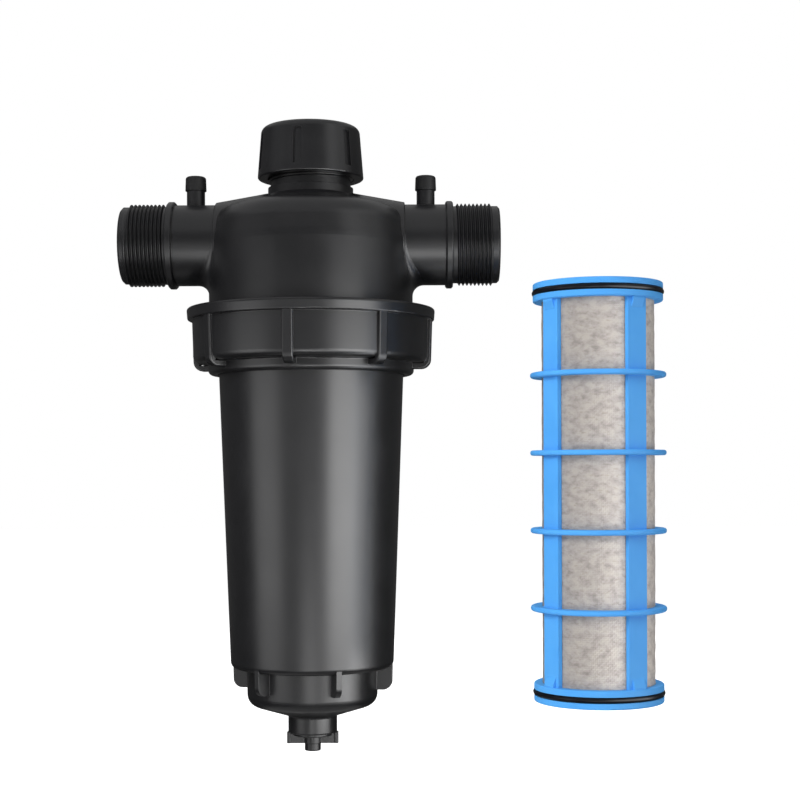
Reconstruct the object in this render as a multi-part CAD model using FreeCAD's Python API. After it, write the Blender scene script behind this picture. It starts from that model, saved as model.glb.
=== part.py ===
import FreeCAD, Part
import math
import os

# Screen filter for a 1 1/2 inch water line: a black moulded tee head with two male
# threaded ports, a tapered bowl held under it by a ribbed collar nut, a screw cap on
# top, a winged drain plug below, and its blue screen cartridge, taken out and stood
# beside the housing at the height at which it sits inside.
#
# Millimetres. The origin is where the port axis crosses the upright axis of the
# housing. +X runs along the ports to the outlet, +Z is up and the front faces -Y.

# Clearances
loose_gap = 0.3             # between curved faces of pieces that move apart
seat_gap = 0.1              # between curved faces of pieces of one body
running_gap = 0.6           # between the collar's bore and the flange of the bowl
collar_play = 0.4           # from the thread's crest to the flange's edge
collar_lip_play = 0.45      # from the bowl's wall to the lip of the collar
plug_nose_play = 0.5        # from the plug's nose to its bore
cavity_wall = 4.0           # moulded wall of the head

# Ports of the head, turned about the X axis
port_reach = 110.0          # end of a port from the upright axis
port_bore_radius = 19.0
port_wall = 3.4
port_thread_root = port_bore_radius + port_wall     # core of the G 1 1/2 male thread
port_thread_depth = 1.5     # the helical ridge stands this far out of the core
port_thread_length = 27.0
port_chamfer = 1.2
port_bead_height = 3.0      # over the thread's core
port_bead_width = 4.3
bead_chamfer = 0.8
port_barrel_radius = port_thread_root + 1.1
shoulder_cone_reach = 55.0  # where the cone that stiffens a port ends
shoulder_cone_tip = 1.3     # step from the cone's end down to the barrel
shoulder_cone_rise = 6.6    # how far it stands over the barrel beside the neck
shoulder_cone_inner = 25.0

# Pressure test nipples on the ports
nipple_reach = 67.3
nipple_stem_radius = 5.3
nipple_stem_height = 8.3    # over the barrel
nipple_radius = 3.2
nipple_height = 6.6
nipple_bore_radius = 1.6
test_cap_radius = 6.2
test_cap_height = 8.5
test_cap_roof = 1.6
test_cap_round = 1.5

# Body of the head, turned about the Z axis
body_radius = 59.5
dome_lean = 3.5             # how far the wall leans in up to its corner with the dome
dome_edge_height = 19.0
dome_wall_height = 0.0      # where the upright wall starts to lean in
dome_edge_round = 14.0
dome_top_height = 27.5
neck_bore_radius = 19.5
neck_wall = 3.9
neck_thread_depth = 1.5
neck_collar_height = 5.5
neck_thread_length = 27.9
skirt_thread_top = -41.0
skirt_thread_length = 21.0
skirt_thread_step = 2.0     # core of the skirt's thread over the wall
skirt_thread_depth = 2.5

# Socket inside the head for the top ring of the cartridge, with the duct from the inlet
socket_wall = 3.3
socket_head_room = 1.0      # from the cartridge's top to the ledge over it
socket_skirt = 4.2          # how far the tube reaches below the top ring
duct_wall = 3.5

# Bowl, a tapered cup with a flange at its rim
flange_height = 7.0
bowl_rim_radius = 54.1      # outside of the wall just under the flange
bowl_foot_radius = 47.5
bowl_foot = -246.5
bowl_wall = 4.5
bowl_foot_round = 3.5
sump_wall = 3.2             # round the seat of the cartridge, in the narrower cylinder
sump_depth = 21.0
sump_round = 7.0
sump_foot_depth = 7.5
sump_ledge_width = 4.3
drain_boss_wall = 4.3
drain_boss_height = 10.0
foot_rib_count = 6
foot_rib_width = 3.2
foot_rib_drop = 13.0
foot_rib_round = 8.0
foot_rib_angle = 21.5       # first rib, from the front towards the outlet

# Collar nut
collar_cover = 3.2          # how far it reaches over the top of the thread
collar_wall = 3.7           # from its bore to the floor of the panels between the ribs
collar_rim_step = 3.8       # the rim over the floor of the panels
collar_rim_height = 6.6
collar_rim_taper = 0.5
collar_rim_round = 1.5
collar_rib_step = 2.5       # the ribs over the floor of the panels
collar_rib_taper = 1.0
collar_rib_drop = 4.2       # foot of the ribs below the flange of the bowl
collar_rib_round = 9.5
collar_rib_count = 8
collar_rib_width = 6.0
collar_rib_edge = 0.9       # rounding along the edges of the ribs
collar_rib_angle = -7.5
collar_floor_drop = 0.6
collar_floor_round = 4.0
collar_lip_wall = 5.45
collar_lip_round = 3.0
collar_lip_drop = 7.3       # foot of the collar below the flange of the bowl

# Top cap
cap_lift = 5.5              # its foot over the collar of the neck
cap_wall = 5.8
cap_taper = 2.4
cap_roof = 5.7
cap_round = 4.0
cap_seal_height = 2.0
cap_groove_count = 6
cap_groove_width = 4.4
cap_groove_depth = 1.4
cap_groove_lift = 4.5       # from the foot of the cap to the groove
cap_groove_drop = 5.1       # from the top of the cap to the groove
cap_groove_angle = -11.6

# Drain plug
drain_core_radius = 10.0    # bore of the boss
plug_thread_gap = 0.4
plug_shank_length = 9.0
plug_nose_radius = 6.1
plug_nose_length = 6.0
plug_disc_step = 1.5        # the disc over the bore of the boss
plug_disc_height = 1.8
wing_reach = 15.0
wing_thickness = 4.2
wing_height = 6.4
wing_tip_thickness = 5.4
wing_tip_length = 2.4
wing_round = 0.8
wing_hub_step = 0.5         # the hub between the wings over the nozzle
nozzle_radius = 4.7
nozzle_tip_height = 4.4
nozzle_bore_radius = 2.6
drain_port_radius = 1.8

# Screen cartridge
screen_x = 157.3            # where it stands beside the housing
screen_y = -82.0
screen_top = -33.0
screen_seat_depth = 8.5     # its foot below the foot of the bowl
ring_step = 4.55            # the end rings over the mesh
ring_height = 9.8
ring_lip = 3.4              # the end rings reach this far inside the mesh
ring_round = 0.8
screen_seal_bulge = 0.55    # an O-ring stands this far out of its groove
screen_seal_section = 1.5
mesh_radius = 29.9
mesh_thickness = 0.7
mesh_grip = 4.0             # how deep the mesh runs into an end ring
disc_step = 1.55            # the discs over the end rings
disc_height = 2.8
disc_first = -81.7
disc_pitch = 41.3
disc_count = 4
disc_round = 1.2
post_step = 1.9             # the posts over the mesh
post_width = 12.0
post_count = 4
post_angle = 32.0           # first post, from the front towards the outlet
post_wedge_step = 1.8       # the wedges over the posts
post_wedge_width = 7.5
post_wedge_height = 6.0

# Seals of the housing
body_seal_section = 1.6
body_seal_gap = 0.25        # from the top of the O-ring to the face that presses it
body_seal_inset = 3.0       # from the core of the skirt's thread to the middle of the O-ring
drain_seal_section = 1.2

# Sizes that follow from the ones above
port_bead_radius = port_thread_root + port_bead_height
shoulder_cone_root = port_barrel_radius + shoulder_cone_rise
nipple_stem_top = port_barrel_radius + nipple_stem_height
dome_edge_radius = body_radius - dome_lean
neck_thread_root = neck_bore_radius + neck_wall
neck_radius = neck_thread_root + neck_thread_depth
neck_collar_top = dome_top_height + neck_collar_height
neck_top = neck_collar_top + neck_thread_length
skirt_bottom = skirt_thread_top - skirt_thread_length
skirt_thread_root = body_radius + skirt_thread_step
skirt_thread_crest = skirt_thread_root + skirt_thread_depth
cavity_radius = body_radius - cavity_wall
screen_foot = bowl_foot - screen_seat_depth
ring_radius = mesh_radius + ring_step
ring_bore_radius = mesh_radius - ring_lip
disc_radius = ring_radius + disc_step
post_radius = mesh_radius + post_step
post_wedge_radius = post_radius + post_wedge_step
socket_radius = ring_radius + screen_seal_bulge + loose_gap
socket_tube_radius = socket_radius + socket_wall
chamber_radius = socket_radius - sump_ledge_width
socket_ceiling = screen_top + socket_head_room
socket_foot = screen_top - ring_height - socket_skirt
duct_radius = port_bore_radius + duct_wall
flange_foot = skirt_bottom - flange_height
sump_radius = socket_radius + sump_wall
sump_edge = bowl_foot - sump_depth
sump_foot = sump_edge - sump_foot_depth
collar_bore_radius = skirt_thread_crest + collar_play + running_gap
flange_radius = collar_bore_radius - running_gap
collar_top = skirt_thread_top + collar_cover
collar_floor_radius = collar_bore_radius + collar_wall
collar_rim_radius = collar_floor_radius + collar_rim_step
collar_rib_radius = collar_floor_radius + collar_rib_step
collar_rib_foot_radius = collar_rib_radius - collar_rib_taper
collar_rib_foot = flange_foot - collar_rib_drop
collar_floor_foot = flange_foot - collar_floor_drop
collar_foot = flange_foot - collar_lip_drop
collar_lip_bore = bowl_rim_radius + collar_lip_play
collar_lip_radius = collar_lip_bore + collar_lip_wall
body_seal_radius = skirt_thread_root - body_seal_inset
cap_bore_radius = neck_radius + loose_gap
cap_foot_radius = cap_bore_radius + cap_wall
cap_top_radius = cap_foot_radius - cap_taper
cap_seal_radius = neck_radius - seat_gap
cap_ceiling = neck_top + cap_seal_height
cap_top = cap_ceiling + cap_roof
cap_foot = neck_collar_top + cap_lift
drain_boss_radius = drain_core_radius + drain_boss_wall
drain_boss_foot = sump_foot - drain_boss_height
plug_shank_radius = drain_core_radius - plug_thread_gap
plug_disc_radius = drain_core_radius + plug_disc_step
seat_bore_radius = plug_nose_radius + plug_nose_play


CHAMFER = "chamfer"


def point(radius, height):
    """A point of an outline in the XZ plane."""
    return FreeCAD.Vector(radius, 0, height)


def rounded_face(corners):
    """A flat face in the XZ plane from corners (x, z), (x, z, rounding) or (x, z, cut, CHAMFER)."""
    edges = []
    start = None
    here = None
    for index, corner in enumerate(corners):
        tip = point(corner[0], corner[1])
        back = point(*corners[index - 1][:2]) - tip
        ahead = point(*corners[(index + 1) % len(corners)][:2]) - tip
        half_angle = back.getAngle(ahead) / 2
        chamfered = CHAMFER in corner
        wanted = corner[2] if len(corner) > 2 else 0
        if not chamfered:
            wanted = wanted / math.tan(half_angle)
        cut = min(wanted, 0.49 * back.Length, 0.49 * ahead.Length)
        if cut > 0:
            entry = tip + back.normalize() * cut
            leave = tip + ahead.normalize() * cut
            radius = cut * math.tan(half_angle)
            inward = (back + ahead).normalize()
            middle = tip + inward * (radius / math.sin(half_angle) - radius)
        else:
            entry = tip
            leave = tip
        if here is None:
            start = entry
        elif here.distanceToPoint(entry) > 1e-6:
            edges.append(Part.makeLine(here, entry))
        if cut > 0 and chamfered:
            edges.append(Part.makeLine(entry, leave))
        elif cut > 0:
            edges.append(Part.Arc(entry, middle, leave).toShape())
        here = leave
    edges.append(Part.makeLine(here, start))
    return Part.Face(Part.Wire(edges))


def turned(corners):
    """A solid turned about the Z axis from an outline of (radius, height) corners."""
    return rounded_face(corners).revolve(FreeCAD.Vector(), FreeCAD.Vector(0, 0, 1), 360)


def turned_on_x(corners):
    """A solid turned about the X axis from an outline of (x, radius) corners."""
    return rounded_face(corners).revolve(FreeCAD.Vector(), FreeCAD.Vector(1, 0, 0), 360)


def upright(radius, low, high, x=0.0, y=0.0):
    """An upright cylinder between two heights."""
    return Part.makeCylinder(radius, high - low, FreeCAD.Vector(x, y, low))


def along_x(radius, low, high):
    """A cylinder on the port axis between two stations."""
    return Part.makeCylinder(radius, high - low, FreeCAD.Vector(low, 0, 0), FreeCAD.Vector(1, 0, 0))


def block(x_low, x_high, width, z_low, z_high):
    """A box centred on the XZ plane."""
    corner = FreeCAD.Vector(x_low, -width / 2, z_low)
    return Part.makeBox(x_high - x_low, width, z_high - z_low, corner)


def radial_plate(corners, width):
    """An outline of (radius, height) corners as an upright plate across the XZ plane."""
    plate = rounded_face(corners).extrude(FreeCAD.Vector(0, width, 0))
    plate.translate(FreeCAD.Vector(0, -width / 2, 0))
    return plate


def facing(shape, angle):
    """A copy of a shape from the +X side, turned to an angle measured from the front."""
    copy = shape.copy()
    copy.rotate(FreeCAD.Vector(), FreeCAD.Vector(0, 0, 1), angle - 90)
    return copy


def ring_of(shape, count, first_angle):
    """Copies of a shape spaced evenly round the upright axis."""
    return [facing(shape, first_angle + 360 / count * index) for index in range(count)]


def mirrored(shape):
    """The same shape on the inlet side."""
    return shape.mirror(FreeCAD.Vector(), FreeCAD.Vector(1, 0, 0))


# Head

def port_outside():
    """One port, on the outlet side: barrel, stiffening cone, bead and thread spigot."""
    bead_outer = port_reach - port_thread_length
    bead_inner = bead_outer - port_bead_width
    cone_end = port_barrel_radius + shoulder_cone_tip
    return turned_on_x([
        (0, 0),
        (port_reach, 0),
        (port_reach, port_thread_root - port_chamfer),
        (port_reach - port_chamfer, port_thread_root),
        (bead_outer, port_thread_root),
        (bead_outer, port_bead_radius, bead_chamfer, CHAMFER),
        (bead_inner, port_bead_radius, bead_chamfer, CHAMFER),
        (bead_inner, port_barrel_radius),
        (shoulder_cone_reach, port_barrel_radius),
        (shoulder_cone_reach, cone_end, 0.4, CHAMFER),
        (shoulder_cone_inner, shoulder_cone_root),
        (0, shoulder_cone_root),
    ])


def body_outside():
    """Neck, dome and wall of the head as one turned form."""
    return turned([
        (0, skirt_thread_top),
        (body_radius, skirt_thread_top),
        (body_radius, dome_wall_height, 25),
        (dome_edge_radius, dome_edge_height, dome_edge_round),
        (neck_radius, dome_top_height, 1.2, CHAMFER),
        (neck_radius, neck_collar_top),
        (neck_thread_root, neck_collar_top),
        (neck_thread_root, neck_top, 0.7, CHAMFER),
        (0, neck_top),
    ])


def dome_roof():
    """Height of the flat underside of the dome, over the socket."""
    slope = (dome_top_height - dome_edge_height) / (dome_edge_radius - neck_radius)
    reach = dome_edge_radius - cavity_wall - socket_tube_radius
    return dome_edge_height - cavity_wall + slope * reach


def dome_pocket(gap):
    """The round pocket under the dome, open below, drawn in from its walls by a gap."""
    return turned([
        (0, skirt_bottom - 1),
        (cavity_radius - gap, skirt_bottom - 1),
        (cavity_radius - gap, dome_wall_height, 20),
        (dome_edge_radius - cavity_wall - gap, dome_edge_height - cavity_wall - gap, 2, CHAMFER),
        (socket_tube_radius, dome_roof() - gap),
        (0, dome_roof() - gap),
    ])


def inlet_bore(reach):
    """The inlet's water way, from a station on the port axis into the chamber."""
    return along_x(port_bore_radius, -reach, -chamber_radius / 2)


def nipple():
    """One test nipple, standing on the outlet port."""
    stem = upright(nipple_stem_radius, 0, nipple_stem_top, nipple_reach)
    spout = upright(nipple_radius, 0, nipple_stem_top + nipple_height, nipple_reach)
    return stem.fuse(spout)


def head():
    """The moulded head: dome, wall, ports, nipples and neck."""
    outlet = port_outside().fuse(nipple())
    solid = body_outside().fuse([outlet, mirrored(outlet)])
    test_bore = upright(nipple_bore_radius, 0, nipple_stem_top + nipple_height + 1, nipple_reach)
    outlet_bore = along_x(port_bore_radius, (socket_tube_radius + cavity_radius) / 2, port_reach + 1)
    neck_bore = upright(neck_bore_radius, 0, neck_top + 1)
    hollows = [dome_pocket(0), inlet_bore(port_reach + 1), outlet_bore, neck_bore, test_bore]
    return solid.cut(hollows + [mirrored(test_bore)]).removeSplitter()


def thread_skirt():
    """The lower end of the head's wall, with the core of the thread for the collar nut."""
    return turned([
        (cavity_radius, skirt_bottom),
        (skirt_thread_root, skirt_bottom, 0.7, CHAMFER),
        (skirt_thread_root, skirt_thread_top),
        (cavity_radius, skirt_thread_top),
    ])


def cartridge_socket():
    """The tube under the dome for the cartridge's top ring, with the duct from the inlet."""
    tube = turned([
        (chamber_radius, dome_roof()),
        (socket_tube_radius, dome_roof()),
        (socket_tube_radius, socket_foot),
        (socket_radius, socket_foot, 0.8, CHAMFER),
        (socket_radius, socket_ceiling),
        (chamber_radius, socket_ceiling),
    ])
    duct = along_x(duct_radius, -body_radius, -chamber_radius / 2)
    duct = duct.common(dome_pocket(seat_gap))
    duct = duct.cut(upright(chamber_radius, -body_radius, body_radius))
    return tube.fuse(duct).cut(inlet_bore(body_radius)).removeSplitter()


def test_cap():
    """The soft cap over the outlet nipple."""
    top = nipple_stem_top + test_cap_height
    inside = nipple_radius + loose_gap
    cap = turned([
        (inside, nipple_stem_top),
        (test_cap_radius, nipple_stem_top, 0.5),
        (test_cap_radius - 0.3, top, test_cap_round),
        (0, top),
        (0, top - test_cap_roof),
        (inside, top - test_cap_roof),
    ])
    cap.translate(FreeCAD.Vector(nipple_reach, 0, 0))
    return cap


# Bowl and its seals

def bowl_radius_at(height):
    """Outside radius of the tapered wall at a height."""
    share = (flange_foot - height) / (flange_foot - bowl_foot)
    return bowl_rim_radius + (bowl_foot_radius - bowl_rim_radius) * share


def foot_rib():
    """One gusset between the foot of the bowl and the sump, on the +X side."""
    top = bowl_foot + bowl_foot_round
    low = bowl_foot - foot_rib_drop
    inner = sump_radius - 2
    return radial_plate([
        (inner, top),
        (bowl_radius_at(top) - 0.2, top),
        (bowl_radius_at(bowl_foot) - 0.4, low, foot_rib_round),
        (inner, low),
    ], foot_rib_width)


def bowl():
    """The bowl: flange, tapered wall, sump with its cartridge seat, drain boss and gussets."""
    boss_foot = drain_boss_foot
    shell = turned([
        (0, boss_foot),
        (drain_boss_radius, boss_foot, 0.8),
        (drain_boss_radius, sump_foot, 1.0),
        (sump_radius - 0.6, sump_edge, sump_round),
        (sump_radius, bowl_foot, 0.8),
        (bowl_foot_radius, bowl_foot, bowl_foot_round),
        (bowl_rim_radius, flange_foot, 1.5),
        (flange_radius, flange_foot, 0.8),
        (flange_radius, skirt_bottom, 0.8),
        (0, skirt_bottom),
    ])
    ledge = screen_foot - 0.5
    floor = sump_foot + bowl_wall
    inside = turned([
        (0, floor),
        (seat_bore_radius, floor),
        (chamber_radius, sump_edge + bowl_wall, 5),
        (chamber_radius, ledge),
        (socket_radius, ledge),
        (socket_radius, bowl_foot + bowl_wall, 0.8),
        (bowl_foot_radius - bowl_wall, bowl_foot + bowl_wall, 3),
        (bowl_rim_radius - bowl_wall, flange_foot),
        (bowl_rim_radius - bowl_wall, skirt_bottom + 1),
        (0, skirt_bottom + 1),
    ])
    groove = upright(body_seal_radius + body_seal_section + 0.15, body_seal_floor(), skirt_bottom + 1)
    groove = groove.cut(upright(body_seal_radius - body_seal_section - 0.15, body_seal_floor(), skirt_bottom + 1))
    boss_bore = upright(drain_core_radius, boss_foot - 1, plug_shoulder() + loose_gap)
    seat_bore = upright(seat_bore_radius, boss_foot, floor + 1)
    solid = shell.fuse(ring_of(foot_rib(), foot_rib_count, foot_rib_angle))
    return solid.cut([inside, groove, boss_bore, seat_bore]).removeSplitter()


def body_seal_floor():
    """Height of the floor of the body seal's groove in the flange."""
    return skirt_bottom - body_seal_gap - 2 * body_seal_section - seat_gap


def o_ring(radius, section, height):
    """A round ring seal at a height."""
    return Part.makeTorus(radius, section, FreeCAD.Vector(0, 0, height), FreeCAD.Vector(0, 0, 1))


def body_o_ring():
    """The O-ring between the flange of the bowl and the skirt of the head."""
    return o_ring(body_seal_radius, body_seal_section, body_seal_floor() + seat_gap + body_seal_section)


# Collar nut

def collar_nut():
    """The ribbed nut that screws on the skirt of the head and carries the bowl by its flange."""
    rim_foot = collar_top - collar_rim_height
    core = turned([
        (collar_bore_radius, collar_top, 0.8),
        (collar_rim_radius, collar_top, collar_rim_round),
        (collar_rim_radius - collar_rim_taper, rim_foot, 0.8),
        (collar_floor_radius + 0.3, rim_foot, 0.4),
        (collar_floor_radius, collar_floor_foot, collar_floor_round),
        (collar_lip_radius, collar_floor_foot, 0.6),
        (collar_lip_radius, collar_foot, collar_lip_round),
        (collar_lip_bore, collar_foot, 0.6),
        (collar_lip_bore, flange_foot, 1.8),
        (collar_bore_radius, flange_foot),
    ])
    rib = radial_plate([
        (collar_floor_radius - 2, rim_foot + 1),
        (collar_rib_radius, rim_foot + 1),
        (collar_rib_foot_radius, collar_rib_foot, collar_rib_round),
        (collar_lip_radius - 1, collar_rib_foot),
        (collar_lip_radius - 1, flange_foot - 1),
        (collar_floor_radius - 2, flange_foot - 1),
    ], collar_rib_width)
    outer_edges = [edge for edge in rib.Edges if on_rib_rim(edge.BoundBox, rim_foot)]
    rib = rib.makeFillet(collar_rib_edge, outer_edges)
    return core.fuse(ring_of(rib, collar_rib_count, collar_rib_angle)).removeSplitter()


def on_rib_rim(box, rim_foot):
    """Whether an edge with these bounds runs along the outside of a collar rib."""
    along = box.YLength < 0.01 and box.ZMin < rim_foot and box.XMax > collar_lip_radius
    return along and (box.ZMin < collar_rib_foot + 0.1 or box.XMax > collar_floor_radius + 0.5)


# Top cap and its seal

def top_cap():
    """The screw cap on the neck, with shallow upright grip grooves."""
    cap = turned([
        (cap_bore_radius, cap_foot),
        (cap_foot_radius, cap_foot, 1.0),
        (cap_top_radius, cap_top, cap_round),
        (0, cap_top),
        (0, cap_ceiling),
        (cap_bore_radius, cap_ceiling),
    ])
    return cap.cut(ring_of(cap_groove(), cap_groove_count, cap_groove_angle)).removeSplitter()


def cap_groove():
    """One grip groove, on the +X side, sunk to an even depth into the cap's tapered wall."""
    low = cap_foot + cap_groove_lift
    high = cap_top - cap_groove_drop
    slope = cap_taper / (cap_top - cap_foot)
    floor = cap_foot_radius - cap_groove_depth
    return radial_plate([
        (floor - slope * (low - cap_foot), low),
        (cap_foot_radius + 1, low),
        (cap_foot_radius + 1, high),
        (floor - slope * (high - cap_foot), high),
    ], cap_groove_width)


def cap_seal():
    """The flat seal between the top of the neck and the cap."""
    disc = upright(cap_seal_radius, neck_top, cap_ceiling)
    return disc.cut(upright(neck_bore_radius, neck_top - 1, cap_ceiling + 1))


# Drain plug and its seal

def plug_shoulder():
    """Height of the shoulder between the shank and the nose of the drain plug."""
    return drain_boss_foot + plug_shank_length


def drain_seal_height():
    """Height of the middle of the drain plug's seal."""
    return plug_shoulder() + plug_nose_length / 2


def drain_plug():
    """The winged drain plug: nose, shank, disc, two wings and a hose nozzle."""
    disc_foot = drain_boss_foot - plug_disc_height
    wing_foot = drain_boss_foot - wing_height
    nozzle_foot = wing_foot - nozzle_tip_height
    nose_top = plug_shoulder() + plug_nose_length
    turned_part = turned([
        (0, nozzle_foot),
        (nozzle_radius, nozzle_foot, 0.6),
        (nozzle_radius, wing_foot),
        (nozzle_radius + wing_hub_step, wing_foot),
        (nozzle_radius + wing_hub_step, disc_foot),
        (plug_disc_radius, disc_foot, 0.6),
        (plug_disc_radius, drain_boss_foot),
        (plug_shank_radius, drain_boss_foot),
        (plug_shank_radius, plug_shoulder(), 1.0),
        (plug_nose_radius, plug_shoulder()),
        (plug_nose_radius, nose_top, 1.0),
        (0, nose_top),
    ])
    wing = block(-wing_reach, wing_reach, wing_thickness, wing_foot, disc_foot + 0.5)
    tip = Part.makeBox(
        wing_tip_length, wing_tip_thickness, wing_height,
        FreeCAD.Vector(wing_reach - wing_tip_length, -wing_tip_thickness / 2, wing_foot))
    upright_edges = [edge for edge in tip.Edges if abs(edge.tangentAt(edge.FirstParameter).z) > 0.9]
    tip = tip.makeFillet(wing_round, upright_edges)
    wing_web = block(-wing_reach + 1, wing_reach - 1, wing_thickness, disc_foot, drain_boss_foot)
    wing_web = wing_web.cut(upright(plug_disc_radius, wing_foot, drain_boss_foot + 1))
    solid = turned_part.fuse([wing, tip, mirrored(tip), wing_web])
    seal_groove = upright(plug_nose_radius + 1, drain_seal_height() - drain_seal_section - seat_gap,
                          drain_seal_height() + drain_seal_section + seat_gap)
    groove_floor = drain_seal_radius() - drain_seal_section - seat_gap
    seal_groove = seal_groove.cut(upright(groove_floor, wing_foot, nose_top))
    drain_bore = upright(nozzle_bore_radius, nozzle_foot - 1, plug_shoulder() - 2)
    cross_bore = Part.makeCylinder(
        drain_port_radius, 3 * plug_shank_radius,
        FreeCAD.Vector(0, -1.5 * plug_shank_radius, plug_shoulder() - 2 - drain_port_radius),
        FreeCAD.Vector(0, 1, 0))
    return solid.cut([seal_groove, drain_bore, cross_bore]).removeSplitter()


def drain_seal_radius():
    """Middle radius of the drain plug's seal."""
    return seat_bore_radius - 0.15 - drain_seal_section


# Screen cartridge, made on the upright axis and then stood beside the housing

def end_ring(foot):
    """One end ring of the cartridge frame with its O-ring groove."""
    top = foot + ring_height
    ring = turned([
        (ring_bore_radius, foot),
        (ring_radius, foot, ring_round),
        (ring_radius, top, ring_round),
        (ring_bore_radius, top),
    ])
    middle = foot + ring_height / 2
    half_groove = screen_seal_section + seat_gap
    floor = screen_seal_radius() - screen_seal_section - seat_gap
    groove = upright(ring_radius + 1, middle - half_groove, middle + half_groove)
    return ring.cut(groove.cut(upright(floor, foot, top)))


def screen_seal_radius():
    """Middle radius of a cartridge O-ring."""
    return ring_radius + screen_seal_bulge - screen_seal_section


def frame_disc(height):
    """One of the flat discs round the mesh."""
    return turned([
        (mesh_radius, height - disc_height / 2),
        (disc_radius, height - disc_height / 2, disc_round),
        (disc_radius, height + disc_height / 2, disc_round),
        (mesh_radius, height + disc_height / 2),
    ])


def frame_post():
    """One post along the mesh, on the +X side, with a wedge at each end ring."""
    low = screen_foot + ring_height
    high = screen_top - ring_height
    post = block(0, post_radius, post_width, low - 1, high + 1)
    low_wedge = radial_plate([
        (mesh_radius, low - 1),
        (post_wedge_radius, low - 1),
        (post_wedge_radius, low + 1),
        (post_radius - 0.2, low + post_wedge_height),
        (mesh_radius, low + post_wedge_height),
    ], post_wedge_width)
    high_wedge = radial_plate([
        (mesh_radius, high + 1),
        (mesh_radius, high - post_wedge_height),
        (post_radius - 0.2, high - post_wedge_height),
        (post_wedge_radius, high - 1),
        (post_wedge_radius, high + 1),
    ], post_wedge_width)
    return post.fuse([low_wedge, high_wedge])


def screen_frame():
    """The moulded cage of the cartridge: two end rings, discs and posts in one piece."""
    pieces = [end_ring(screen_top - ring_height)]
    pieces += [frame_disc(disc_first - disc_pitch * index) for index in range(disc_count)]
    pieces += ring_of(frame_post(), post_count, post_angle)
    cage = end_ring(screen_foot).fuse(pieces)
    bore = upright(ring_bore_radius, screen_foot - 1, screen_top + 1)
    sleeve = upright(mesh_radius + seat_gap / 2, mesh_foot() - seat_gap, mesh_top() + seat_gap)
    between = upright(mesh_radius + seat_gap / 2, screen_foot + ring_height, screen_top - ring_height)
    slot = sleeve.cut(upright(mesh_radius - mesh_thickness - seat_gap, screen_foot, screen_top))
    return cage.cut([bore, between, slot]).removeSplitter()


def mesh_foot():
    """Lower end of the mesh inside the foot ring."""
    return screen_foot + ring_height - mesh_grip


def mesh_top():
    """Upper end of the mesh inside the top ring."""
    return screen_top - ring_height + mesh_grip


def screen_mesh():
    """The woven wire tube inside the cage, as one closed sleeve."""
    sleeve = upright(mesh_radius, mesh_foot(), mesh_top())
    return sleeve.cut(upright(mesh_radius - mesh_thickness, mesh_foot() - 1, mesh_top() + 1))


def screen_o_ring(foot):
    """The O-ring of the end ring that starts at a height."""
    return o_ring(screen_seal_radius(), screen_seal_section, foot + ring_height / 2)


def drain_o_ring():
    """The seal on the nose of the drain plug."""
    return o_ring(drain_seal_radius(), drain_seal_section, drain_seal_height())


def beside_housing(shape):
    """A cartridge piece moved to where it stands beside the housing."""
    shape.translate(FreeCAD.Vector(screen_x, screen_y, 0))
    return shape


parts = {
    "head": head(),
    "thread_skirt": thread_skirt(),
    "cartridge_socket": cartridge_socket(),
    "inlet_test_cap": mirrored(test_cap()),
    "outlet_test_cap": test_cap(),
    "body_o_ring": body_o_ring(),
    "bowl": bowl(),
    "collar_nut": collar_nut(),
    "top_cap": top_cap(),
    "cap_seal": cap_seal(),
    "drain_plug": drain_plug(),
    "drain_seal": drain_o_ring(),
    "screen_frame": beside_housing(screen_frame()),
    "screen_mesh": beside_housing(screen_mesh()),
    "upper_o_ring": beside_housing(screen_o_ring(screen_top - ring_height)),
    "lower_o_ring": beside_housing(screen_o_ring(screen_foot)),
}

os.makedirs("parts", exist_ok=True)
for node, shape in parts.items():
    shape.exportStep(f"parts/{node}.step")
    box = shape.BoundBox
    print(node, "valid", shape.isValid(), "solids", len(shape.Solids), "faces", len(shape.Faces),
          f"{box.XMin:.1f} {box.YMin:.1f} {box.ZMin:.1f} to {box.XMax:.1f} {box.YMax:.1f} {box.ZMax:.1f}")
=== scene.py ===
"""An inline water screen filter, closed, with its blue screen cartridge stood beside it.

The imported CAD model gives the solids. This file gives each moulding its finish, adds the
screw threads and the roundings under the ports, rolls the wire sleeve, and sets a plain
studio round the part. Lengths are millimetres in the classes of the part's pieces, and metres
in the classes of the studio and on the meshes.
"""

import logging
import math
from dataclasses import dataclass
from enum import Enum

import bmesh
import bpy
from mathutils import Matrix, Vector, noise


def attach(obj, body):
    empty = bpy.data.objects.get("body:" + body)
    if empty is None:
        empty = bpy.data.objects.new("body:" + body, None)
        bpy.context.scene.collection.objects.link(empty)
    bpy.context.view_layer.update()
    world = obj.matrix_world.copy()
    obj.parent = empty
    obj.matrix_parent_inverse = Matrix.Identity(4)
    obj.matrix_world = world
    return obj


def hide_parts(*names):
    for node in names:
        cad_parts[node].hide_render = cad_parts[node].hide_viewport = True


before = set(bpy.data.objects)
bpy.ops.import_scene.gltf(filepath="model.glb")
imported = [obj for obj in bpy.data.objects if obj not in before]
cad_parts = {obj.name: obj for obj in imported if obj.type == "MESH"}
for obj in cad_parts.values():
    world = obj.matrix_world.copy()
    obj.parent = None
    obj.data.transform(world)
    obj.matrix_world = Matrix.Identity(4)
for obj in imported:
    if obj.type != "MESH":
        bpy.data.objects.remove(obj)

Colour = tuple[float, float, float, float]
Place = tuple[float, float, float]

MM = 0.001
MM_PER_METRE = 1000
WHITE: Colour = (1.0, 1.0, 1.0, 1.0)
BLACK: Colour = (0.0, 0.0, 0.0, 1.0)
LOG = logging.getLogger("screen_filter")


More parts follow.
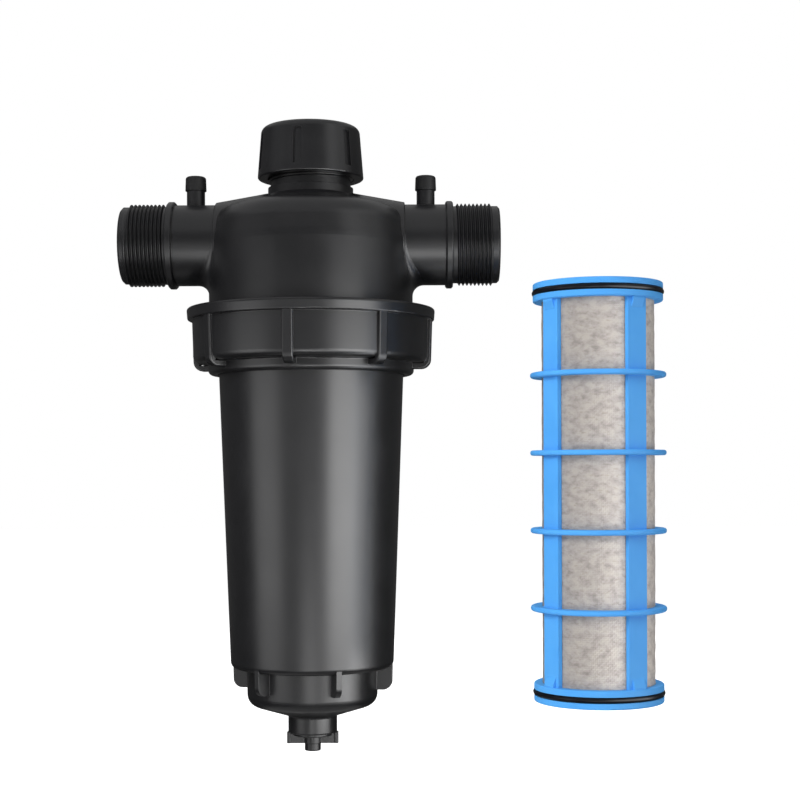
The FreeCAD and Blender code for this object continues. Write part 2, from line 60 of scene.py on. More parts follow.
class Axis(Enum):
    """The way a thread points."""

    UP = "up"
    OUTLET = "outlet"
    INLET = "inlet"

    def turn(self) -> Matrix:
        """Find the rotation from straight up to this axis.

        Returns:
            The rotation.
        """
        if self is Axis.OUTLET:
            return Matrix.Rotation(math.radians(90), 4, "Y")
        if self is Axis.INLET:
            return Matrix.Rotation(math.radians(-90), 4, "Y")
        return Matrix.Identity(4)


class Lamp(Enum):
    """What a studio light does: it shows in the gloss, or it lights the colour."""

    GLOSS = "gloss"
    FILL = "fill"


class Slot(Enum):
    """The record's material slots."""

    BLACK = "black_plastic"
    SOFT = "soft_black"
    SEAL = "seal_rubber"
    BLUE = "blue_plastic"
    MESH = "steel_mesh"


def srgb(code: str) -> Colour:
    """Turn an sRGB hex colour to linear light.

    Args:
        code: Six hex digits.

    Returns:
        Linear red, green and blue, and full alpha.
    """
    linear = []
    for start in (0, 2, 4):
        value = int(code[start:start + 2], 16) / 255
        linear.append(value / 12.92 if value <= 0.04045 else ((value + 0.055) / 1.055) ** 2.4)
    return (linear[0], linear[1], linear[2], 1.0)


def add_node(tree: bpy.types.NodeTree, kind: str, inputs: dict | None = None,
             **settings) -> bpy.types.Node:
    """Add a node with its settings and links.

    Args:
        tree: The tree that takes it.
        kind: The node's type name.
        inputs: Socket names or numbers, each with a value or the output socket to link.
        settings: Properties of the node itself.

    Returns:
        The node.
    """
    node = tree.nodes.new(kind)
    for name, value in settings.items():
        setattr(node, name, value)
    for name, value in (inputs or {}).items():
        if isinstance(value, bpy.types.NodeSocket):
            tree.links.new(value, node.inputs[name])
        else:
            node.inputs[name].default_value = value
    return node


def blank_material(name: str) -> tuple[bpy.types.Material, bpy.types.NodeTree]:
    """Start a material with an empty node tree.

    Args:
        name: The material's name.

    Returns:
        The material and its tree.
    """
    material = bpy.data.materials.new(name)
    material.use_nodes = True
    tree = material.node_tree
    tree.nodes.clear()
    return material, tree


def ramp(tree: bpy.types.NodeTree, factor: bpy.types.NodeSocket,
         stops: list[tuple[float, Colour]]) -> bpy.types.NodeSocket:
    """Colour a factor by stops.

    Args:
        tree: The tree that takes the ramp.
        factor: The value from 0 to 1.
        stops: Places with their colours.

    Returns:
        The colour output.
    """
    node = add_node(tree, "ShaderNodeValToRGB", {"Fac": factor})
    elements = node.color_ramp.elements
    while len(elements) < len(stops):
        elements.new(0.5)
    for element, (place, colour) in zip(elements, stops):
        element.position = place
        element.color = colour
    return node.outputs["Color"]


@dataclass(frozen=True)
class MouldedPlastic:
    """An injection moulded thermoplastic with a fine tool grain.

    The tool's grain breaks up the gloss, the flow of the melt shades the colour a little,
    and the Bevel node rounds the sharp edges that every moulding loses in the tool.
    """

    name: str
    colour: str
    pale: str
    roughness: float
    specular: float
    grain_mm: float = 0.5
    grain_depth_mm: float = 0.004
    edge_mm: float = 0.45
    glow: float = 0.0
    flow_mm: float = 26.0
    sink_mm: float = 18.0
    sink_depth_mm: float = 0.03
    glow_reach_mm: float = 1.2

    def build(self) -> bpy.types.Material:
        """Make the material.

        Returns:
            The material.
        """
        material, tree = blank_material(self.name)
        place = add_node(tree, "ShaderNodeTexCoord").outputs["Object"]
        flow = add_node(tree, "ShaderNodeTexNoise", {
            "Vector": place, "Scale": MM_PER_METRE / self.flow_mm, "Detail": 3.0,
            "Roughness": 0.55})
        colour = ramp(tree, flow.outputs["Fac"], [
            (0.35, srgb(self.colour)), (0.75, srgb(self.pale))])
        grain = add_node(tree, "ShaderNodeTexNoise", {
            "Vector": place, "Scale": MM_PER_METRE / self.grain_mm, "Detail": 2.0,
            "Roughness": 0.6})
        sink = add_node(tree, "ShaderNodeTexNoise", {
            "Vector": place, "Scale": MM_PER_METRE / self.sink_mm, "Detail": 1.0})
        gloss = add_node(tree, "ShaderNodeMapRange", {
            "Value": flow.outputs["Fac"], "From Min": 0.3, "From Max": 0.7,
            "To Min": self.roughness - 0.02, "To Max": self.roughness + 0.03})
        edge = add_node(tree, "ShaderNodeBevel", {"Radius": self.edge_mm * MM}, samples=6)
        soft = add_node(tree, "ShaderNodeBump", {
            "Height": sink.outputs["Fac"], "Distance": self.sink_depth_mm * MM, "Strength": 0.5,
            "Normal": edge.outputs["Normal"]})
        bump = add_node(tree, "ShaderNodeBump", {
            "Height": grain.outputs["Fac"], "Distance": self.grain_depth_mm * MM,
            "Strength": 0.6, "Normal": soft.outputs["Normal"]})
        shader = add_node(tree, "ShaderNodeBsdfPrincipled", {
            "Base Color": colour, "Roughness": gloss.outputs["Result"],
            "Normal": bump.outputs["Normal"], "IOR": 1.5, "Specular IOR Level": self.specular,
            "Subsurface Weight": self.glow, "Subsurface Radius": (0.4, 0.8, 1.0),
            "Subsurface Scale": self.glow_reach_mm * MM})
        add_node(tree, "ShaderNodeOutputMaterial", {"Surface": shader.outputs["BSDF"]})
        return material


@dataclass(frozen=True)
class SealRubber:
    """Nitrile rubber, pressed in a polished tool and wiped with a film of grease."""

    name: str
    colour: str
    pale: str
    roughness: float
    bloom_mm: float = 4.0
    bloom_depth_mm: float = 0.02

    def build(self) -> bpy.types.Material:
        """Make the material.

        Returns:
            The material.
        """
        material, tree = blank_material(self.name)
        place = add_node(tree, "ShaderNodeTexCoord").outputs["Object"]
        bloom = add_node(tree, "ShaderNodeTexNoise", {
            "Vector": place, "Scale": MM_PER_METRE / self.bloom_mm, "Detail": 4.0})
        colour = ramp(tree, bloom.outputs["Fac"], [
            (0.4, srgb(self.colour)), (0.7, srgb(self.pale))])
        bump = add_node(tree, "ShaderNodeBump", {
            "Height": bloom.outputs["Fac"], "Distance": self.bloom_depth_mm * MM,
            "Strength": 0.5})
        shader = add_node(tree, "ShaderNodeBsdfPrincipled", {
            "Base Color": colour, "Roughness": self.roughness, "IOR": 1.52,
            "Specular IOR Level": 0.22, "Normal": bump.outputs["Normal"]})
        add_node(tree, "ShaderNodeOutputMaterial", {"Surface": shader.outputs["BSDF"]})
        return material


@dataclass(frozen=True)
class WireCloth:
    """Plain woven stainless steel wire cloth, drawn on a UV map in millimetres.

    The real cloth is too fine to show here, so the wires are drawn wider apart than they are.
    Noise paints darker and paler patches, in part painted shade of the cloth's small crumples,
    and short dashes along the wires.
    """

    name: str
    pale: str
    mid: str
    dark: str
    dash: str
    pitch_mm: float = 1.1
    patch_mm: tuple[float, float] = (5.0, 3.6)
    dash_mm: tuple[float, float] = (3.6, 2.0)
    dash_share: float = 0.36
    relief_mm: float = 0.25
    # A wave texture of this scale repeats once a unit.
    wave_scale: float = 0.314

    def stretched(self, tree: bpy.types.NodeTree,
                  size: tuple[float, float]) -> bpy.types.NodeSocket:
        """Measure the cloth in units of a given size.

        Args:
            tree: The tree that takes the nodes.
            size: One unit round the sleeve and one up it, in millimetres.

        Returns:
            The coordinates.
        """
        place = add_node(tree, "ShaderNodeUVMap", uv_map="weave").outputs["UV"]
        scale = (1 / size[0], 1 / size[1], 1.0)
        return add_node(tree, "ShaderNodeMapping", {
            "Vector": place, "Scale": scale}).outputs["Vector"]

    def weave(self, tree: bpy.types.NodeTree) -> bpy.types.NodeSocket:
        """Lay warp and weft over and under each other.

        Args:
            tree: The tree that takes the nodes.

        Returns:
            The height of the wires from 0 to 1.
        """
        wire = self.stretched(tree, (self.pitch_mm, self.pitch_mm))
        warp, weft = [
            add_node(tree, "ShaderNodeTexWave", {"Vector": wire, "Scale": self.wave_scale},
                     bands_direction=way, wave_profile="SIN") for way in ("X", "Y")]
        checks = add_node(tree, "ShaderNodeTexChecker", {
            "Vector": wire, "Scale": 1.0, "Color1": WHITE, "Color2": BLACK})
        over = add_node(tree, "ShaderNodeMix", {
            0: checks.outputs["Fac"], 2: warp.outputs["Fac"], 3: weft.outputs["Fac"]})
        return over.outputs[0]

    def build(self) -> bpy.types.Material:
        """Make the material.

        Returns:
            The material.
        """
        material, tree = blank_material(self.name)
        patches = add_node(tree, "ShaderNodeTexNoise", {
            "Vector": self.stretched(tree, self.patch_mm), "Scale": 1.0, "Detail": 3.0,
            "Roughness": 0.6})
        dashes = add_node(tree, "ShaderNodeTexNoise", {
            "Vector": self.stretched(tree, self.dash_mm), "Scale": 1.0, "Detail": 2.0,
            "Roughness": 0.55})
        height = add_node(tree, "ShaderNodeMath", {
            0: self.weave(tree), 1: dashes.outputs["Fac"]}, operation="ADD")
        # Patches of darker and paler grey: in part painted shade of the cloth's crumples.
        base = ramp(tree, patches.outputs["Fac"], [
            (0.30, srgb(self.dark)), (0.47, srgb(self.mid)), (0.60, srgb(self.pale))])
        shade = ramp(tree, dashes.outputs["Fac"], [(0.30, srgb(self.dash)), (0.45, WHITE)])
        colour = add_node(tree, "ShaderNodeMix", {0: self.dash_share, 6: base, 7: shade},
                          data_type="RGBA", blend_type="MULTIPLY")
        bump = add_node(tree, "ShaderNodeBump", {
            "Height": height.outputs[0], "Distance": self.relief_mm * MM, "Strength": 0.45})
        shader = add_node(tree, "ShaderNodeBsdfPrincipled", {
            "Base Color": colour.outputs[2], "Metallic": 0.25, "Roughness": 0.55,
            "Normal": bump.outputs["Normal"]})
        add_node(tree, "ShaderNodeOutputMaterial", {"Surface": shader.outputs["BSDF"]})
        return material


# Glass filled polypropylene, moulded satin: deep black with broad soft highlights.
HOUSING_BLACK = MouldedPlastic("polypropylene_moulded_black", "131315", "171719",
                               roughness=0.33, specular=0.7)
# Soft polyethylene of the test caps: the same black, duller.
SOFT_BLACK = MouldedPlastic("polyethylene_soft_black", "151516", "1a1a1b",
                            roughness=0.5, specular=0.45, grain_mm=0.3)
# Polypropylene coloured sky blue, moulded: light passes a little way into thin ribs.
CARTRIDGE_BLUE = MouldedPlastic("polypropylene_moulded_blue", "52a3ec", "5aabf1",
                                roughness=0.4, specular=0.04, grain_depth_mm=0.003,
                                edge_mm=0.3, glow=0.12)
SEAL_BLACK = SealRubber("nitrile_rubber_black", "0c0d12", "15171f", roughness=0.3)
CLOTH = WireCloth("stainless_wire_cloth", pale="b0a9a2", mid="a59e99", dark="918b85",
                  dash="b9b4ae")


@dataclass
class Finishes:
    """The built materials by slot."""

    by_slot: dict[Slot, bpy.types.Material]

    @classmethod
    def build(cls) -> "Finishes":
        """Build every finish once.

        Returns:
            The finishes.
        """
        return cls({
            Slot.BLACK: HOUSING_BLACK.build(), Slot.SOFT: SOFT_BLACK.build(),
            Slot.SEAL: SEAL_BLACK.build(), Slot.BLUE: CARTRIDGE_BLUE.build(),
            Slot.MESH: CLOTH.build()})

    def dress(self, nodes: tuple[str, ...], slot: Slot) -> None:
        """Give CAD nodes their finish.

        Args:
            nodes: The nodes' names.
            slot: The record's slot.
        """
        for node in nodes:
            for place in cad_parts[node].material_slots:
                place.material = self.by_slot[slot]
            LOG.info("dressed %s", node)


def add_object(name: str, bm: bmesh.types.BMesh, material: bpy.types.Material) -> bpy.types.Object:
    """Turn a bmesh into an object of the scene at the origin.

    Args:
        name: The object's name.
        bm: Its mesh in metres, which is freed.
        material: Its material.

    Returns:
        The object.
    """
    mesh = bpy.data.meshes.new(name)
    bm.to_mesh(mesh)
    bm.free()
    mesh.materials.append(material)
    made = bpy.data.objects.new(name, mesh)
    bpy.context.scene.collection.objects.link(made)
    return made


def new_piece(name: str, bm: bmesh.types.BMesh, material: bpy.types.Material, body: str,
              sharp: float = 35.0) -> bpy.types.Object:
    """Turn a bmesh into a finished piece that rides on a body.

    Args:
        name: The piece's name.
        bm: Its mesh in metres, which is freed.
        material: Its finish.
        body: The CAD body it rides on.
        sharp: Edges over this angle in degrees stay sharp.

    Returns:
        The object.
    """
    bmesh.ops.remove_doubles(bm, verts=bm.verts, dist=1e-6)
    bmesh.ops.recalc_face_normals(bm, faces=bm.faces)
    for face in bm.faces:
        face.smooth = True
    for edge in bm.edges:
        if len(edge.link_faces) == 2 and edge.calc_face_angle() > math.radians(sharp):
            edge.smooth = False
    piece = add_object(name, bm, material)
    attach(piece, body)
    LOG.info("made %s with %d faces", name, len(piece.data.polygons))
    return piece


@dataclass(frozen=True)
class ScrewThread:
    """A helical ridge on a shank or in a bore, with ends that run out.

    The run out is a share of a turn, over which the ridge sinks to its least height.
    """

    name: str
    body: str
    core: float
    crest: float
    lead: float
    start: float
    end: float
    root_width: float
    crest_width: float
    axis: Axis = Axis.UP
    sunk: float = 0.12
    phase: float = 0.0
    steps: int = 72
    run_out: float = 0.35
    least: float = 0.02

    def run_out_ends(self, bm: bmesh.types.BMesh, root: float, corners: int, count: int) -> None:
        """Let both ends of the ridge sink into the shank.

        Args:
            bm: The swept ridge.
            root: Radius of its foot.
            corners: Corners of the outline.
            count: Steps of the sweep.
        """
        fade = self.run_out * self.steps
        for index, vert in enumerate(bm.verts):
            step = index // corners
            share = max(self.least, min(1.0, step / fade, (count - step) / fade))
            flat = Vector((vert.co.x, vert.co.y, 0))
            reach = root * MM + (flat.length - root * MM) * share
            flat = flat.normalized() * reach
            vert.co = (flat.x, flat.y, vert.co.z)

    def build(self, material: bpy.types.Material) -> bpy.types.Object:
        """Sweep the ridge's outline along its helix.

        Args:
            material: The finish.

        Returns:
            The piece.
        """
        bm = bmesh.new()
        inward = 1 if self.crest > self.core else -1
        root = self.core - inward * self.sunk
        outline = [(root, -self.root_width / 2), (self.crest, -self.crest_width / 2),
                   (self.crest, self.crest_width / 2), (root, self.root_width / 2)]
        low = self.start + self.root_width / 2
        corners = [bm.verts.new((radius * MM, 0, (low + up) * MM)) for radius, up in outline]
        edges = [bm.edges.new((corners[i - 1], corners[i])) for i in (1, 2, 3, 0)]
        turns = (self.end - self.start - self.root_width) / self.lead
        count = round(turns * self.steps)
        bmesh.ops.spin(bm, geom=corners + edges, cent=(0, 0, 0), axis=(0, 0, 1),
                       angle=math.tau * turns, dvec=(0, 0, self.lead * turns / count * MM),
                       steps=count, use_merge=False)
        bm.verts.ensure_lookup_table()
        self.run_out_ends(bm, root, len(outline), count)
        bmesh.ops.contextual_create(bm, geom=list(bm.verts)[:len(outline)])
        bmesh.ops.contextual_create(bm, geom=list(bm.verts)[-len(outline):])
        bmesh.ops.rotate(bm, verts=bm.verts, cent=(0, 0, 0),
                         matrix=Matrix.Rotation(math.radians(self.phase), 3, "Z"))
        bmesh.ops.transform(bm, verts=bm.verts, matrix=self.axis.turn())
        return new_piece(self.name, bm, material, self.body)


@dataclass(frozen=True)
class RootFillet:
    """The rounding between a port's lower half and the head's wall.

    It is the form that a ball leaves when it rolls along the joint of both cylinders. The ball
    is large under the port and shrinks to an edge break beside it. Turns are degrees round the
    port from straight down, and the side is 1 at the outlet and -1 at the inlet.
    """

    name: str
    side: int
    port_radius: float = 23.5
    wall_radius: float = 59.5
    full: float = 6.5
    slight: float = 1.6
    slight_from: float = 92.0
    easing: float = 60.0
    reach: float = 97.0
    sunk: float = 0.5
    steps: int = 64
    arc: int = 8

    def ball(self, turn: float) -> float:
        """Find the radius of the ball at a place on the joint.

        Args:
            turn: Degrees round the port from straight down.

        Returns:
            Millimetres.
        """
        share = max(0.0, min(1.0, (self.slight_from - abs(turn)) / self.easing))
        return self.slight + (self.full - self.slight) * share * share * (3 - 2 * share)

    def section(self, turn: float) -> list[Vector]:
        """Draw the outline across the joint.

        Args:
            turn: Degrees round the port from straight down.

        Returns:
            Places in millimetres, with the hidden corner first.
        """
        radius = self.ball(turn)
        about = math.radians(turn)
        off_port = Vector((0.0, math.sin(about), -math.cos(about)))
        middle = off_port * (self.port_radius + radius)
        middle.x = math.sqrt((self.wall_radius + radius) ** 2 - middle.y ** 2)
        off_wall = Vector((middle.x, middle.y, 0.0)).normalized()
        curve = [middle - off_port.slerp(off_wall, step / self.arc) * radius
                 for step in range(self.arc + 1)]
        corner = middle - (off_port + off_wall) * (radius + self.sunk)
        return [corner, curve[0] - off_port * self.sunk, *curve, curve[-1] - off_wall * self.sunk]

    def build(self, material: bpy.types.Material) -> bpy.types.Object:
        """Join the outlines along the joint.

        Args:
            material: The finish.

        Returns:
            The piece.
        """
        bm = bmesh.new()
        rings = []
        for step in range(self.steps + 1):
            turn = self.reach * (2 * step / self.steps - 1)
            rings.append([bm.verts.new((place.x * self.side * MM, place.y * MM, place.z * MM))
                          for place in self.section(turn)])
        for near, far in zip(rings, rings[1:]):
            for index in range(len(near)):
                after = (index + 1) % len(near)
                bm.faces.new((near[index], near[after], far[after], far[index]))
        bm.faces.new(rings[0])
        bm.faces.new(rings[-1])
        return new_piece(self.name, bm, material, "housing", sharp=50.0)


@dataclass
class Housing:
    """The black housing: head, bowl, collar nut, cap, drain plug and test caps."""

    port_core: float = 22.4
    port_crest: float = 23.9
    port_pitch: float = 2.309
    port_start: float = 83.4
    port_end: float = 107.6
    cap_lead: float = 4.0
    collar_lead: float = 6.0
    drain_lead: float = 2.0

    def port_thread(self, name: str, axis: Axis, phase: float) -> ScrewThread:
        """Describe the pipe thread of a port.

        Args:
            name: The piece's name.
            axis: The way the port points.
            phase: Degrees by which the thread is turned.

        Returns:
            The thread.
        """
        return ScrewThread(name, "housing", self.port_core, self.port_crest, self.port_pitch,
                           self.port_start, self.port_end, root_width=2.2, crest_width=0.2,
                           axis=axis, phase=phase)

    def threads(self) -> list[ScrewThread]:
        """List every screw thread of the housing.

        Returns:
            The threads.
        """
        return [
            self.port_thread("outlet_port_thread", Axis.OUTLET, 0.0),
            self.port_thread("inlet_port_thread", Axis.INLET, 140.0),
            ScrewThread("neck_thread", "housing", core=23.4, crest=24.9, lead=self.cap_lead,
                        start=34.0, end=59.0, root_width=1.8, crest_width=0.7),
            ScrewThread("cap_thread", "cap", core=25.2, crest=23.7, lead=self.cap_lead,
                        start=39.4, end=58.4, root_width=1.6, crest_width=0.6, phase=180.0),
            ScrewThread("skirt_thread", "housing", core=61.5, crest=64.0, lead=self.collar_lead,
                        start=-60.6, end=-42.2, root_width=2.6, crest_width=1.0),
            ScrewThread("collar_thread", "collar", core=65.0, crest=62.7, lead=self.collar_lead,
                        start=-60.0, end=-39.6, root_width=2.4, crest_width=0.9, phase=180.0),
            ScrewThread("drain_plug_thread", "drain", core=9.6, crest=9.93, lead=self.drain_lead,
                        start=-284.6, end=-277.6, root_width=1.1, crest_width=0.4, sunk=0.08,
                        steps=48),
        ]

    def build(self, finishes: Finishes) -> None:
        """Dress the solids, cut the threads and round the roots of the ports.

        Args:
            finishes: The built finishes.
        """
        finishes.dress(("head", "thread_skirt", "cartridge_socket", "bowl", "collar_nut",
                        "top_cap", "drain_plug"), Slot.BLACK)
        finishes.dress(("inlet_test_cap", "outlet_test_cap"), Slot.SOFT)
        finishes.dress(("body_o_ring", "cap_seal", "drain_seal"), Slot.SEAL)
        fillets = [RootFillet("outlet_root_fillet", 1), RootFillet("inlet_root_fillet", -1)]
        for piece in self.threads() + fillets:
            piece.build(finishes.by_slot[Slot.BLACK])


@dataclass
class Cartridge:
    """The blue cage with its wire cloth sleeve and two O-rings."""

    x: float = 157.3
    y: float = -82.0
    mesh_radius: float = 29.9
    mesh_thickness: float = 0.7
    mesh_foot: float = -249.2
    mesh_top: float = -38.8
    dent_depth: float = 0.2
    dent_wide: float = 6.0
    dent_tall: float = 4.2
    columns: int = 150
    rows: int = 156

    def dent(self, bm: bmesh.types.BMesh) -> None:
        """Press the small dents of handling into the sleeve.

        Args:
            bm: The sleeve, still a plain tube round the origin.
        """
        for vert in bm.verts:
            spot = vert.co / MM
            wave = noise.noise(Vector((spot.x / self.dent_wide, spot.y / self.dent_wide,
                                       spot.z / self.dent_tall)))
            deep = self.dent_depth * max(0.0, min(1.0, 0.5 + wave))
            inward = 1 - deep / self.mesh_radius
            vert.co = (vert.co.x * inward, vert.co.y * inward, vert.co.z)

    def lay_weave(self, bm: bmesh.types.BMesh) -> None:
        """Unroll the sleeve to a UV map in millimetres.

        Args:
            bm: The sleeve, still round the origin.
        """
        weave = bm.loops.layers.uv["weave"]
        for face in bm.faces:
            middle = face.calc_center_median()
            about = math.atan2(middle.y, middle.x)
            for loop in face.loops:
                turn = math.atan2(loop.vert.co.y, loop.vert.co.x)
                if turn - about > math.pi:
                    turn -= math.tau
                if about - turn > math.pi:
                    turn += math.tau
                loop[weave].uv = (turn * self.mesh_radius, loop.vert.co.z / MM)

    def sleeve(self, material: bpy.types.Material) -> bpy.types.Object:
        """Roll the wire cloth to a tube with a thickness.

        Args:
            material: The cloth's finish.

        Returns:
            The piece.
        """
        bm = bmesh.new()
        bm.loops.layers.uv.new("weave")
        foot = bm.verts.new((self.mesh_radius * MM, 0, self.mesh_foot * MM))
        top = bm.verts.new((self.mesh_radius * MM, 0, self.mesh_top * MM))
        side = bm.edges.new((foot, top))
        bmesh.ops.subdivide_edges(bm, edges=[side], cuts=self.rows - 1)
        bmesh.ops.spin(bm, geom=list(bm.verts) + list(bm.edges), cent=(0, 0, 0), axis=(0, 0, 1),
                       angle=math.tau, steps=self.columns, use_merge=True)
        bmesh.ops.remove_doubles(bm, verts=bm.verts, dist=1e-6)
        self.dent(bm)
        bmesh.ops.recalc_face_normals(bm, faces=bm.faces)
        self.lay_weave(bm)
        bmesh.ops.solidify(bm, geom=bm.faces, thickness=self.mesh_thickness * MM)
        bmesh.ops.translate(bm, verts=bm.verts, vec=(self.x * MM, self.y * MM, 0))
        piece = new_piece("wire_cloth_sleeve", bm, material, "housing")
        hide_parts("screen_mesh")
        return piece

    def build(self, finishes: Finishes) -> None:
        """Dress the cage and roll its sleeve.

        Args:
            finishes: The built finishes.
        """
        finishes.dress(("screen_frame",), Slot.BLUE)
        finishes.dress(("upper_o_ring", "lower_o_ring"), Slot.SEAL)
        self.sleeve(finishes.by_slot[Slot.MESH])


@dataclass(frozen=True)
class SoftBox:
    """A rectangular studio light aimed at the part, at an azimuth from the front."""

    name: str
    azimuth: float
    distance: float
    height: float
    width: float
    tall: float
    radiance: float
    kind: Lamp = Lamp.GLOSS
    aim: Place = (0.0, 0.0, -0.15)

    def build(self) -> None:
        """Hang the light at its azimuth, measured from the front towards the outlet side."""
        lamp = bpy.data.lights.new(self.name, "AREA")
        lamp.shape = "RECTANGLE"
        lamp.size = self.width
        lamp.size_y = self.tall
        lamp.energy = self.radiance * math.pi * self.width * self.tall
        light = bpy.data.objects.new(self.name, lamp)
        bpy.context.scene.collection.objects.link(light)
        turn = math.radians(self.azimuth)
        centre = Vector(self.aim)
        light.location = centre + Vector((
            math.sin(turn) * self.distance, -math.cos(turn) * self.distance,
            self.height - centre.z))
        light.rotation_mode = "QUATERNION"
        light.rotation_quaternion = (centre - light.location).to_track_quat("-Z", "Y")
        light.visible_camera = False
        light.visible_diffuse = self.kind is Lamp.FILL
        light.visible_glossy = self.kind is Lamp.GLOSS


@dataclass(frozen=True)
class Drape:
    """A cloth swept round the stage that only the plastic's gloss sees.

    Dark cloth keeps the edges of the black mouldings dark on a white ground. Grey cloth gives
    them their middle tone. The cloth runs from one place to another, each a radius and a height.
    """

    name: str
    start: float
    end: float
    near: tuple[float, float]
    far: tuple[float, float]
    glow: float
    steps: int = 36

    def build(self) -> None:
        """Hang the cloth between its azimuths, from the front towards the outlet side."""
        material, tree = blank_material(self.name + "_cloth")
        shine = add_node(tree, "ShaderNodeEmission", {"Color": WHITE, "Strength": self.glow})
        add_node(tree, "ShaderNodeOutputMaterial", {"Surface": shine.outputs[0]})
        bm = bmesh.new()
        turn = math.radians(self.start)
        foot, top = [bm.verts.new((math.sin(turn) * radius, -math.cos(turn) * radius, height))
                     for radius, height in (self.near, self.far)]
        side = bm.edges.new((foot, top))
        bmesh.ops.spin(bm, geom=[foot, top, side], cent=(0, 0, 0), axis=(0, 0, 1),
                       angle=math.radians(self.end - self.start), steps=self.steps,
                       use_merge=False)
        bmesh.ops.remove_doubles(bm, verts=bm.verts, dist=1e-5)
        cloth = add_object(self.name, bm, material)
        cloth.visible_camera = False
        cloth.visible_diffuse = False
        cloth.visible_shadow = False


# Where the drapes of the stage end, in metres from its middle.
EDGE = 1.2
CEILING = 0.75
GROUND = -0.399
UNDER = -0.3985
# Azimuths of the stage's front half, from the left to the right edge.
LEFT = -69.0
RIGHT = 88.0
# What the fills aim at: the middle of the housing and its cartridge.
BETWEEN = (0.1, -0.05, -0.12)

# Each light has a name, azimuth, distance, height, width, tallness and radiance.
LIGHTS = (
    SoftBox("right_softbox", 53.0, 0.55, -0.19, 0.63, 0.33, 5.3),
    SoftBox("right_strip", 70.0, 0.068, -0.185, 0.033, 0.21, 2.9, aim=(0.03, -0.045, -0.185)),
    SoftBox("left_softbox", -55.0, 0.55, -0.19, 0.38, 0.33, 1.35),
    SoftBox("high_right_softbox", 50.0, 0.70, 0.32, 0.27, 0.46, 0.4),
    SoftBox("high_right_wide_softbox", 67.0, 0.70, 0.32, 0.68, 0.46, 0.4),
    SoftBox("high_left_softbox", -74.0, 0.70, 0.30, 0.50, 0.46, 0.15),
    SoftBox("front_left_fill", -35.0, 1.5, 0.70, 0.9, 0.9, 8.5, Lamp.FILL, BETWEEN),
    SoftBox("right_fill", 60.0, 1.5, 0.40, 0.9, 0.9, 0.3, Lamp.FILL, BETWEEN),
    SoftBox("rear_fill", 170.0, 1.5, 0.70, 0.9, 0.9, 4.5, Lamp.FILL, BETWEEN),
)

# Each drape has a name, its azimuths, its near and far place and its glow.
DRAPES = (
    Drape("front_low_drape", LEFT, RIGHT, (EDGE, GROUND), (EDGE, 0.02), 0.50),
    Drape("front_high_drape", LEFT, RIGHT, (EDGE, 0.02), (EDGE, CEILING), 0.10),
    Drape("rear_drape", RIGHT, LEFT + 360, (EDGE, GROUND), (EDGE, CEILING), 0.08),
    Drape("ceiling_drape", 0.0, 360.0, (0.0, CEILING), (EDGE, CEILING), 0.45),
    Drape("under_ground_cloth", 0.0, 360.0, (0.0, UNDER), (0.15, UNDER), 0.35),
    Drape("rear_ground_cloth", RIGHT, LEFT + 360, (0.0, GROUND), (EDGE, GROUND), 0.03),
    Drape("near_ground_cloth", LEFT, RIGHT, (0.0, GROUND), (0.42, GROUND), 0.05),
    Drape("left_ground_cloth", LEFT, -10.0, (0.42, GROUND), (0.92, GROUND), 0.6),
    Drape("middle_ground_cloth", -10.0, 7.0, (0.42, GROUND), (0.98, GROUND), 5.0),
    Drape("right_ground_cloth", 7.0, RIGHT, (0.42, GROUND), (0.92, GROUND), 2.0),
    Drape("front_ground_cloth", LEFT, RIGHT, (0.92, GROUND), (EDGE, GROUND), 0.55),
)


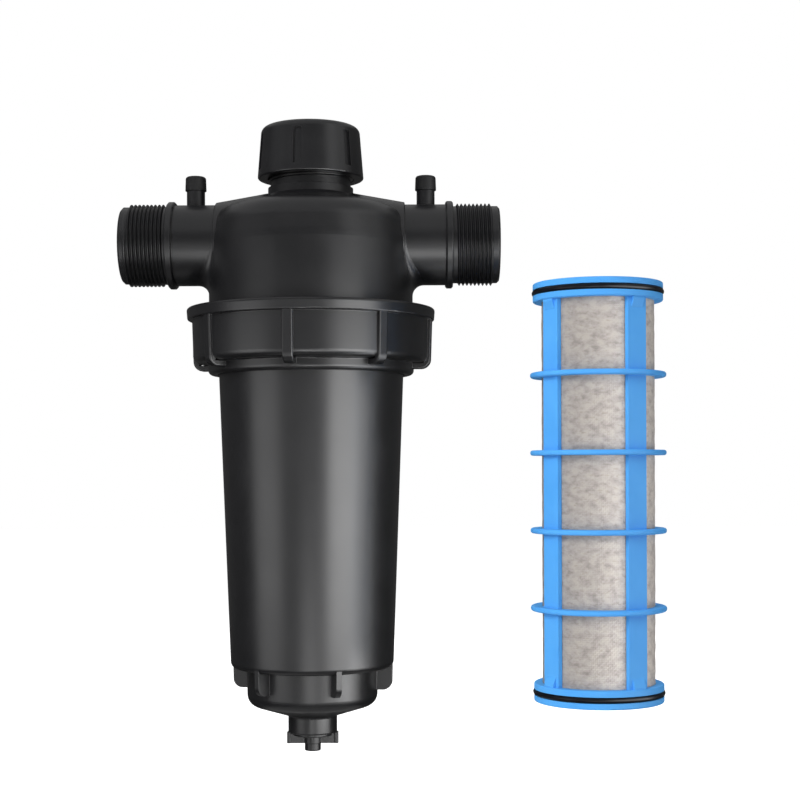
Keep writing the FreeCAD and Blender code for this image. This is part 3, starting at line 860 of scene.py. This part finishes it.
@dataclass
class Studio:
    """The plain floor, the white surround, the lights and the camera."""

    floor_height: float = -0.40
    floor_reach: float = 6.0
    floor_lift: float = 0.62
    ambient: float = 0.5
    eye: Place = (0.0517, -0.8997, -0.1309)
    pitch: float = 0.0
    roll: float = -0.22
    lens: float = 69.05
    rise: float = 0.0855

    def seen_rays(self, tree: bpy.types.NodeTree) -> bpy.types.NodeSocket:
        """Pick the rays that come from the camera, a gloss or a clear piece.

        Args:
            tree: The tree that takes the nodes.

        Returns:
            One for such a ray, and nought for the rest.
        """
        path = add_node(tree, "ShaderNodeLightPath")
        first = add_node(tree, "ShaderNodeMath", {
            0: path.outputs["Is Camera Ray"], 1: path.outputs["Is Glossy Ray"]},
            operation="MAXIMUM")
        both = add_node(tree, "ShaderNodeMath", {
            0: first.outputs[0], 1: path.outputs["Is Transmission Ray"]}, operation="MAXIMUM")
        return both.outputs[0]

    def surround(self) -> None:
        """Set a white world that lights the part only weakly."""
        world = bpy.data.worlds.new("white_surround")
        bpy.context.scene.world = world
        world.use_nodes = True
        tree = world.node_tree
        tree.nodes.clear()
        weak, white = [
            add_node(tree, "ShaderNodeBackground", {"Color": WHITE, "Strength": strength})
            for strength in (self.ambient, 1.0)]
        mix = add_node(tree, "ShaderNodeMixShader", {
            0: self.seen_rays(tree), 1: weak.outputs[0], 2: white.outputs[0]})
        add_node(tree, "ShaderNodeOutputWorld", {"Surface": mix.outputs[0]})

    def floor(self) -> None:
        """Lay a large pale floor that renders white and keeps a trace of the part's shadow."""
        material, tree = blank_material("painted_board_pale")
        paint = add_node(tree, "ShaderNodeBsdfDiffuse", {"Color": srgb("e6e6e6")})
        lift = add_node(tree, "ShaderNodeMath", {0: self.seen_rays(tree), 1: self.floor_lift},
                        operation="MULTIPLY")
        white = add_node(tree, "ShaderNodeEmission", {
            "Color": WHITE, "Strength": lift.outputs[0]})
        both = add_node(tree, "ShaderNodeAddShader", {0: paint.outputs[0], 1: white.outputs[0]})
        add_node(tree, "ShaderNodeOutputMaterial", {"Surface": both.outputs[0]})
        bm = bmesh.new()
        bmesh.ops.create_grid(bm, x_segments=1, y_segments=1, size=self.floor_reach)
        bmesh.ops.translate(bm, verts=bm.verts, vec=(0, 0, self.floor_height))
        add_object("floor", bm, material)

    def camera(self) -> None:
        """Set the camera at the photograph's place and angle."""
        data = bpy.data.cameras.new("camera")
        data.lens = self.lens
        data.shift_y = self.rise
        data.sensor_width = 36.0
        data.clip_start = 0.01
        data.clip_end = 50.0
        camera = bpy.data.objects.new("camera", data)
        camera.location = self.eye
        tilt = Matrix.Rotation(math.radians(90 + self.pitch), 4, "X")
        roll = Matrix.Rotation(math.radians(self.roll), 4, "Z")
        camera.rotation_euler = (tilt @ roll).to_euler()
        bpy.context.scene.collection.objects.link(camera)
        bpy.context.scene.camera = camera

    def build(self) -> None:
        """Set up the whole studio."""
        self.camera()
        self.surround()
        self.floor()
        for item in LIGHTS + DRAPES:
            item.build()
        bpy.context.scene.view_settings.view_transform = "Standard"
        LOG.info("set the studio")


def main() -> None:
    """Build the studio, the housing and the cartridge."""
    logging.basicConfig(level=logging.INFO, format="%(message)s")
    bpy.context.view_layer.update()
    Studio().build()
    finishes = Finishes.build()
    Housing().build(finishes)
    Cartridge().build(finishes)


if __name__ == "__main__":
    main()
